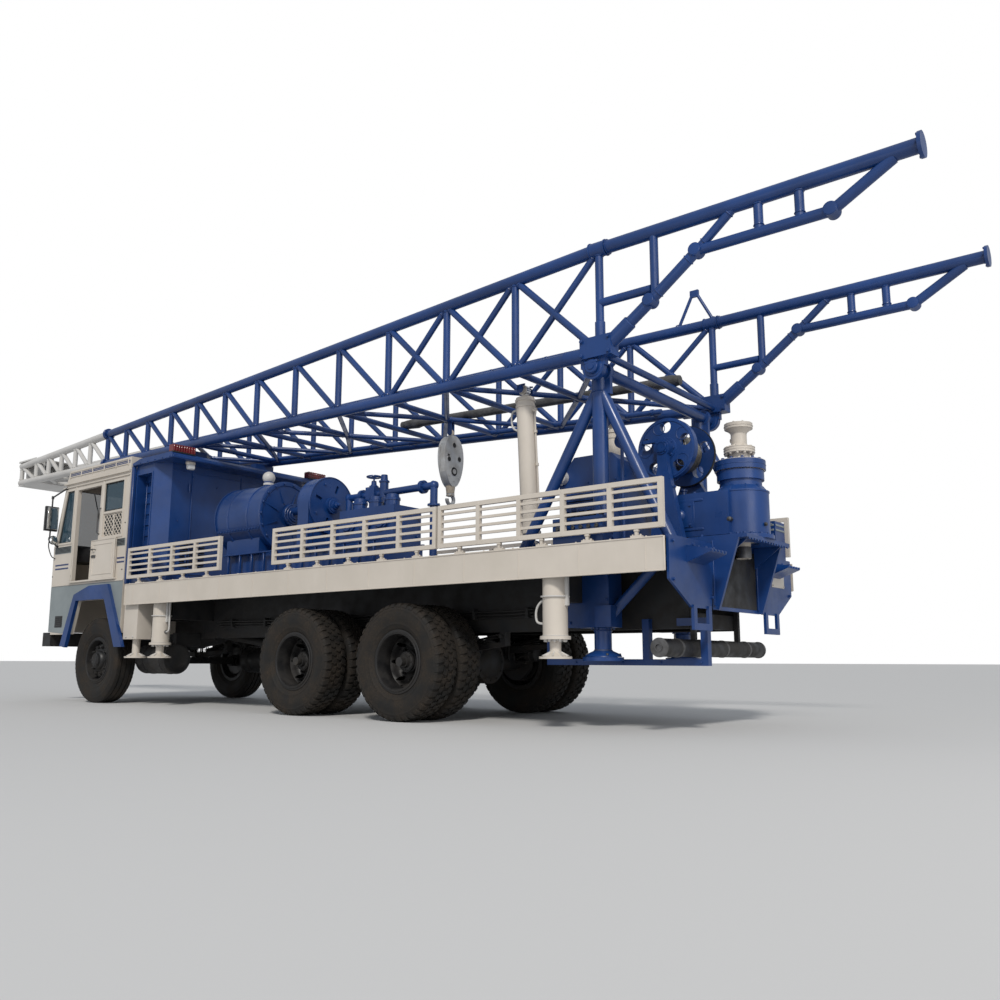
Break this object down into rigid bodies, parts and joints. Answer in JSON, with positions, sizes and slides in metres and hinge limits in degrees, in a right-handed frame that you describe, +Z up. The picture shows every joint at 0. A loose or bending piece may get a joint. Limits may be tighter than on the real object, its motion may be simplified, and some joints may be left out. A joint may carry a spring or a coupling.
{
  "type": "rotary drilling rig",
  "caption": "Truck mounted rotary drilling rig with its tapered lattice mast folded forward over an open-door cab, and a railed deck with pump, drawworks and rotary head.",
  "frame": {"origin": "on the ground, midway along the rig's length and on its centre plane", "axes": "+X towards the cab, +Y to the vehicle's left, +Z up"},
  "size_m": [14.277, 2.79, 4.241],
  "materials": {
    "chassis_grey": "satin",
    "cast_grey": "matte",
    "tyre": "matte",
    "rim_steel": "satin",
    "block_grey": "satin",
    "rig_blue": "gloss",
    "cream": "gloss",
    "glass": "gloss",
    "seat_cloth": "matte",
    "black_paint": "satin",
    "black_plastic": "matte",
    "lamp_red": "gloss",
    "white_paint": "gloss",
    "dark_steel": "satin",
    "chrome": "gloss"
  },
  "bodies": {
    "vehicle": {"chassis_frame": "chassis_grey", "rear_axles": "chassis_grey", "front_axle": "chassis_grey", "leaf_springs": "chassis_grey", "engine_block": "cast_grey", "driveline": "chassis_grey", "deck_frame": "chassis_grey", "deck_skirts": "cream", "railings": "cream", "cab_shell": "cream", "cab_trim": "cream", "cab_glass": "glass", "cab_interior": "seat_cloth", "wheel_flares": "rig_blue", "mirrors": "black_plastic", "marker_lamps": "lamp_red", "cabinet": "rig_blue", "tanks": "black_paint", "raising_frame": "rig_blue", "rotary_head": "rig_blue", "drawworks_frame": "rig_blue", "mud_pump": "rig_blue", "jack_tubes": "cream", "rear_body": "rig_blue", "controls": "rig_blue", "work_lamps": "white_paint"},
    "front_left_knuckle": {"left_knuckle": "chassis_grey"},
    "front_right_knuckle": {"right_knuckle": "chassis_grey"},
    "front_left_wheel": {"front_left_tyre": "tyre", "front_left_rim": "rim_steel"},
    "front_right_wheel": {"front_right_tyre": "tyre", "front_right_rim": "rim_steel"},
    "middle_left_wheels": {"left_middle_tyres": "tyre", "left_middle_rims": "rim_steel"},
    "middle_right_wheels": {"right_middle_tyres": "tyre", "right_middle_rims": "rim_steel"},
    "rear_left_wheels": {"left_rear_tyres": "tyre", "left_rear_rims": "rim_steel"},
    "rear_right_wheels": {"right_rear_tyres": "tyre", "right_rear_rims": "rim_steel"},
    "mast": {"mast_left_side": "rig_blue", "mast_right_side": "rig_blue", "mast_lacing": "rig_blue", "mast_tip": "white_paint", "drill_pipe": "dark_steel"},
    "cylinder_barrels": {"lift_barrels": "cream"},
    "cylinder_rods": {"lift_rods": "chrome"},
    "spindle": {"rotary_spindle": "cream"},
    "drum": {"drawworks_drum": "rig_blue"},
    "block": {"travelling_block": "block_grey"},
    "left_door": {"left_half_door": "cream"},
    "right_door": {"right_half_door": "cream"},
    "rear_left_jack_rod": {"rear_left_jack": "cream"},
    "rear_right_jack_rod": {"rear_right_jack": "cream"},
    "second_left_jack_rod": {"second_left_jack": "cream"},
    "second_right_jack_rod": {"second_right_jack": "cream"},
    "front_left_jack_rod": {"front_left_jack": "cream"},
    "front_right_jack_rod": {"front_right_jack": "cream"}
  },
  "joints": [
    {"name": "mast_raise", "type": "hinge", "parent": "vehicle", "child": "mast", "pos_m": [-4.6035, 0, 2.86], "axis": [0, -1, 0], "range_deg": [0, 90]},
    {"name": "barrel_tilt", "type": "hinge", "parent": "vehicle", "child": "cylinder_barrels", "pos_m": [-3.7435, 0, 1.5], "axis": [0, -1, 0], "range_deg": [0, 24.7]},
    {"name": "rod_extend", "type": "slide", "parent": "cylinder_barrels", "child": "cylinder_rods", "axis": [0.0494, 0, 0.9988], "range_m": [0, 1.0495]},
    {"name": "block_swing", "type": "hinge", "parent": "mast", "child": "block", "pos_m": [-2.0935, -0.065, 2.93], "axis": [0, -1, 0], "range_deg": [-90, 0]},
    {"name": "spindle_turn", "type": "hinge", "parent": "vehicle", "child": "spindle", "pos_m": [-5.3435, 0, 2], "axis": [0, 0, 1], "continuous": true},
    {"name": "drum_turn", "type": "hinge", "parent": "vehicle", "child": "drum", "pos_m": [-4.8235, 0, 2.3], "axis": [0, 1, 0], "continuous": true},
    {"name": "left_steer", "type": "hinge", "parent": "vehicle", "child": "front_left_knuckle", "pos_m": [2.7345, 0.88, 0.522], "axis": [0, 0, 1], "range_deg": [-30, 30]},
    {"name": "front_left_wheel_turn", "type": "hinge", "parent": "front_left_knuckle", "child": "front_left_wheel", "pos_m": [2.7345, 1.002, 0.522], "axis": [0, 1, 0], "continuous": true},
    {"name": "middle_left_wheels_turn", "type": "hinge", "parent": "vehicle", "child": "middle_left_wheels", "pos_m": [-1.1505, 0.908, 0.522], "axis": [0, 1, 0], "continuous": true},
    {"name": "rear_left_wheels_turn", "type": "hinge", "parent": "vehicle", "child": "rear_left_wheels", "pos_m": [-2.5735, 0.908, 0.522], "axis": [0, 1, 0], "continuous": true},
    {"name": "left_door_slide", "type": "slide", "parent": "vehicle", "child": "left_door", "axis": [1, 0, 0], "range_m": [0, 0.53]},
    {"name": "right_steer", "type": "hinge", "parent": "vehicle", "child": "front_right_knuckle", "pos_m": [2.7345, -0.88, 0.522], "axis": [0, 0, 1], "range_deg": [-30, 30]},
    {"name": "front_right_wheel_turn", "type": "hinge", "parent": "front_right_knuckle", "child": "front_right_wheel", "pos_m": [2.7345, -1.002, 0.522], "axis": [0, 1, 0], "continuous": true},
    {"name": "middle_right_wheels_turn", "type": "hinge", "parent": "vehicle", "child": "middle_right_wheels", "pos_m": [-1.1505, -0.908, 0.522], "axis": [0, 1, 0], "continuous": true},
    {"name": "rear_right_wheels_turn", "type": "hinge", "parent": "vehicle", "child": "rear_right_wheels", "pos_m": [-2.5735, -0.908, 0.522], "axis": [0, 1, 0], "continuous": true},
    {"name": "right_door_slide", "type": "slide", "parent": "vehicle", "child": "right_door", "axis": [1, 0, 0], "range_m": [0, 0.53]},
    {"name": "rear_left_jack_extend", "type": "slide", "parent": "vehicle", "child": "rear_left_jack_rod", "axis": [0, 0, -1], "range_m": [0, 0.54]},
    {"name": "rear_right_jack_extend", "type": "slide", "parent": "vehicle", "child": "rear_right_jack_rod", "axis": [0, 0, -1], "range_m": [0, 0.54]},
    {"name": "second_left_jack_extend", "type": "slide", "parent": "vehicle", "child": "second_left_jack_rod", "axis": [0, 0, -1], "range_m": [0, 0.54]},
    {"name": "second_right_jack_extend", "type": "slide", "parent": "vehicle", "child": "second_right_jack_rod", "axis": [0, 0, -1], "range_m": [0, 0.54]},
    {"name": "front_left_jack_extend", "type": "slide", "parent": "vehicle", "child": "front_left_jack_rod", "axis": [0, 0, -1], "range_m": [0, 0.54]},
    {"name": "front_right_jack_extend", "type": "slide", "parent": "vehicle", "child": "front_right_jack_rod", "axis": [0, 0, -1], "range_m": [0, 0.54]}
  ],
  "couplings": [
    {"joint": "barrel_tilt", "follows": "mast_raise", "ratio": 0.27347},
    {"joint": "rod_extend", "follows": "mast_raise", "m_per_rad": 0.66801},
    {"joint": "block_swing", "follows": "mast_raise", "ratio": -1},
    {"joint": "right_steer", "follows": "left_steer", "ratio": 1}
  ]
}
